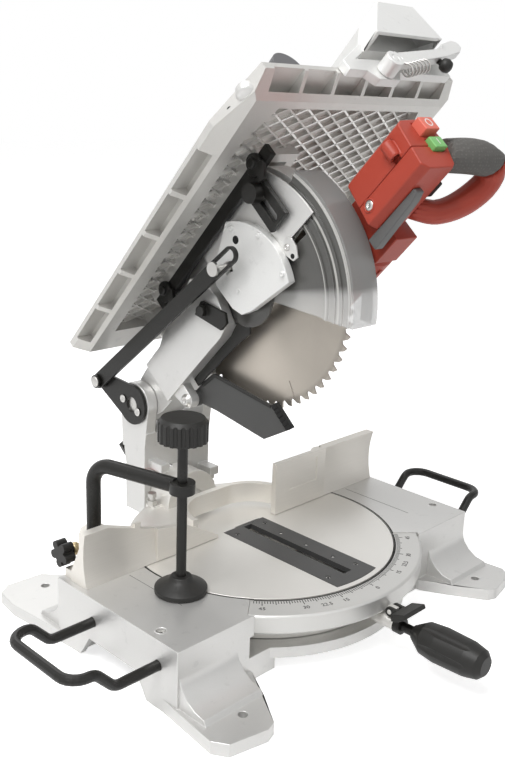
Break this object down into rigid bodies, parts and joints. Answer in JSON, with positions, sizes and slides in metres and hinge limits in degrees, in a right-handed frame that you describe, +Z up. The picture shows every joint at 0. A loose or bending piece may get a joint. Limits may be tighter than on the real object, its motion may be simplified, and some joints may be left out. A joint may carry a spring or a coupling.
{
  "type": "mitre saw",
  "caption": "Table-top mitre saw with a turntable base, fence, hold-down clamp, support bows, tilting chop head, see-through guard and an upper saw table",
  "frame": {"origin": "centre of the four bench bolt holes on the bench plane", "axes": "+X to the saw's right, +Y to the back, +Z up"},
  "size_m": [0.63, 0.529, 0.6312],
  "materials": {
    "cast_aluminium": "satin cast, blasted",
    "machined_aluminium": "fine turned",
    "steel": "bright zinc",
    "blade_steel": "ground",
    "black_coated": "satin powder coat",
    "black_plastic": "matt moulded",
    "dark_plate": "matt moulded",
    "rubber": "matt",
    "white_paint": "satin paint",
    "red_plastic": "fine textured",
    "pointer_red": "plain",
    "soft_grip": "dotted soft grip",
    "green_plastic": "satin",
    "button_red": "satin",
    "smoky_clear": "smoky clear plastic",
    "grey_plastic": "matt moulded"
  },
  "bodies": {
    "base": {"base_casting": "cast_aluminium", "mitre_scale": "machined_aluminium", "fence": "machined_aluminium", "fence_screws": "steel", "pivot_bolt": "steel", "bow_screws": "steel"},
    "support_bow_l": {"support_bow_left": "black_coated"},
    "support_bow_r": {"support_bow_right": "black_coated"},
    "clamp_arm": {"clamp_post": "black_coated"},
    "clamp_spindle": {"clamp_screw": "black_coated", "clamp_knob": "black_plastic", "clamp_pad": "black_plastic"},
    "post_knob": {"post_lock_knob": "black_plastic"},
    "mitre_table": {"turntable": "machined_aluminium", "kerf_insert": "dark_plate", "insert_screws": "steel", "bevel_stops": "steel", "bevel_scale": "white_paint", "bevel_bolt": "steel"},
    "mitre_handle": {"mitre_handle_rod": "steel", "mitre_handle_grip": "black_plastic"},
    "detent": {"detent_lever": "black_plastic"},
    "bevel_head": {"tilt_bracket": "cast_aluminium", "chop_shaft": "steel", "link_bracket": "black_coated", "bevel_pointer": "pointer_red", "return_spring": "black_coated"},
    "bevel_lever": {"bevel_lock_lever": "black_coated"},
    "saw_head": {"arm": "cast_aluminium", "upper_guard": "cast_aluminium", "hub_cover": "white_paint", "arm_stop_plate": "black_coated", "table_posts": "steel", "table_clamp_bolt": "black_coated", "motor_housing": "red_plastic", "switch_housing_upper": "red_plastic", "switch_housing_lower": "red_plastic", "handle_neck": "dark_plate", "handle_loop": "red_plastic", "handle_grip": "soft_grip"},
    "flap": {"rear_flap": "dark_plate", "flap_strip": "rubber"},
    "rotor": {"armature": "steel"},
    "start": {"start_button": "green_plastic"},
    "stop": {"stop_button": "button_red"},
    "trigger_body": {"trigger": "black_plastic"},
    "shield": {"lower_guard": "smoky_clear", "guard_pin": "steel"},
    "link": {"guard_link": "black_coated"},
    "saw_blade": {"blade": "blade_steel", "blade_flanges": "steel", "arbor_bolt": "steel", "spindle": "steel"},
    "deck": {"upper_table": "cast_aluminium", "table_insert": "steel", "table_guide_bar": "black_coated", "edge_stop": "grey_plastic"},
    "rip": {"rip_fence": "white_paint"},
    "rip_clamp": {"rip_lever": "white_paint"}
  },
  "joints": [
    {"name": "mitre_turn", "type": "hinge", "parent": "base", "child": "mitre_table", "pos_m": [0, 0.01, 0.07], "axis": [0, 0, 1], "range_deg": [-45, 45]},
    {"name": "bevel_tilt", "type": "hinge", "parent": "mitre_table", "child": "bevel_head", "pos_m": [0, 0.16, 0.07], "axis": [0, 1, 0], "range_deg": [-30, 0]},
    {"name": "chop", "type": "hinge", "parent": "bevel_head", "child": "saw_head", "pos_m": [0, 0.18, 0.187], "axis": [1, 0, 0], "range_deg": [0, 48]},
    {"name": "blade_spin", "type": "hinge", "parent": "saw_head", "child": "saw_blade", "pos_m": [0, 0.02313, 0.34179], "axis": [1, 0, 0], "continuous": true},
    {"name": "motor_spin", "type": "hinge", "parent": "saw_head", "child": "rotor", "pos_m": [0.05, -0.05047, 0.38318], "axis": [0, 0.6691, -0.7431], "continuous": true},
    {"name": "guard_open", "type": "hinge", "parent": "saw_head", "child": "shield", "pos_m": [0, 0.02313, 0.34179], "axis": [1, 0, 0], "range_deg": [-10.4, 0.4]},
    {"name": "link_swing", "type": "hinge", "parent": "bevel_head", "child": "link", "pos_m": [-0.0525, 0.236, 0.204], "axis": [1, 0, 0], "range_deg": [-0.5, 40]},
    {"name": "flap_swing", "type": "hinge", "parent": "saw_head", "child": "flap", "pos_m": [-0.016, 0.1018, 0.20809], "axis": [1, 0, 0], "range_deg": [-20.5, 0.5]},
    {"name": "table_lift", "type": "slide", "parent": "saw_head", "child": "deck", "axis": [0, 0.7431, 0.6691], "range_m": [0, 0.03]},
    {"name": "rip_slide", "type": "slide", "parent": "deck", "child": "rip", "axis": [1, 0, 0], "range_m": [-0.07, 0.03]},
    {"name": "rip_lock", "type": "hinge", "parent": "rip", "child": "rip_clamp", "pos_m": [0.072, -0.07176, 0.57123], "axis": [0, 0.6691, -0.7431], "range_deg": [0, 50]},
    {"name": "start_press", "type": "slide", "parent": "saw_head", "child": "start", "axis": [0, 0.6691, -0.7431], "range_m": [0, 0.0036], "stiffness_N_per_m": 300},
    {"name": "stop_press", "type": "slide", "parent": "saw_head", "child": "stop", "axis": [0, 0.6691, -0.7431], "range_m": [0, 0.0036], "stiffness_N_per_m": 300},
    {"name": "trigger_pull", "type": "slide", "parent": "saw_head", "child": "trigger_body", "axis": [-1, 0, 0], "range_m": [0, 0.0036], "stiffness_N_per_m": 300},
    {"name": "bow_left_slide", "type": "slide", "parent": "base", "child": "support_bow_l", "axis": [-1, 0, 0], "range_m": [-0.016, 0.038]},
    {"name": "bow_right_slide", "type": "slide", "parent": "base", "child": "support_bow_r", "axis": [1, 0, 0], "range_m": [0, 0.054]},
    {"name": "clamp_swing", "type": "hinge", "parent": "base", "child": "clamp_arm", "pos_m": [-0.178, 0.076, 0.1], "axis": [0, 0, 1], "range_deg": [-40, 5]},
    {"name": "clamp_press", "type": "slide", "parent": "clamp_arm", "child": "clamp_spindle", "axis": [0, 0, 1], "range_m": [0, 0.08]},
    {"name": "post_lock", "type": "hinge", "parent": "base", "child": "post_knob", "pos_m": [-0.2, 0.076, 0.092], "axis": [1, 0, 0], "range_deg": [0, 180]},
    {"name": "handle_turn", "type": "hinge", "parent": "mitre_table", "child": "mitre_handle", "pos_m": [0, -0.22, 0.04], "axis": [0, 1, 0], "range_deg": [0, 120]},
    {"name": "detent_lift", "type": "hinge", "parent": "mitre_table", "child": "detent", "pos_m": [0, -0.175, 0.053], "axis": [-1, 0, 0], "range_deg": [0, 12], "stiffness_Nm_per_rad": 0.6},
    {"name": "bevel_lock", "type": "hinge", "parent": "mitre_table", "child": "bevel_lever", "pos_m": [0, 0.204, 0.07], "axis": [0, 1, 0], "range_deg": [0, 40]}
  ],
  "couplings": [
    {"joint": "guard_open", "follows": "chop", "ratio": -0.20833},
    {"joint": "link_swing", "follows": "chop", "ratio": 0.825},
    {"joint": "flap_swing", "follows": "chop", "ratio": -0.41667},
    {"joint": "motor_spin", "follows": "blade_spin", "ratio": -4.5}
  ]
}
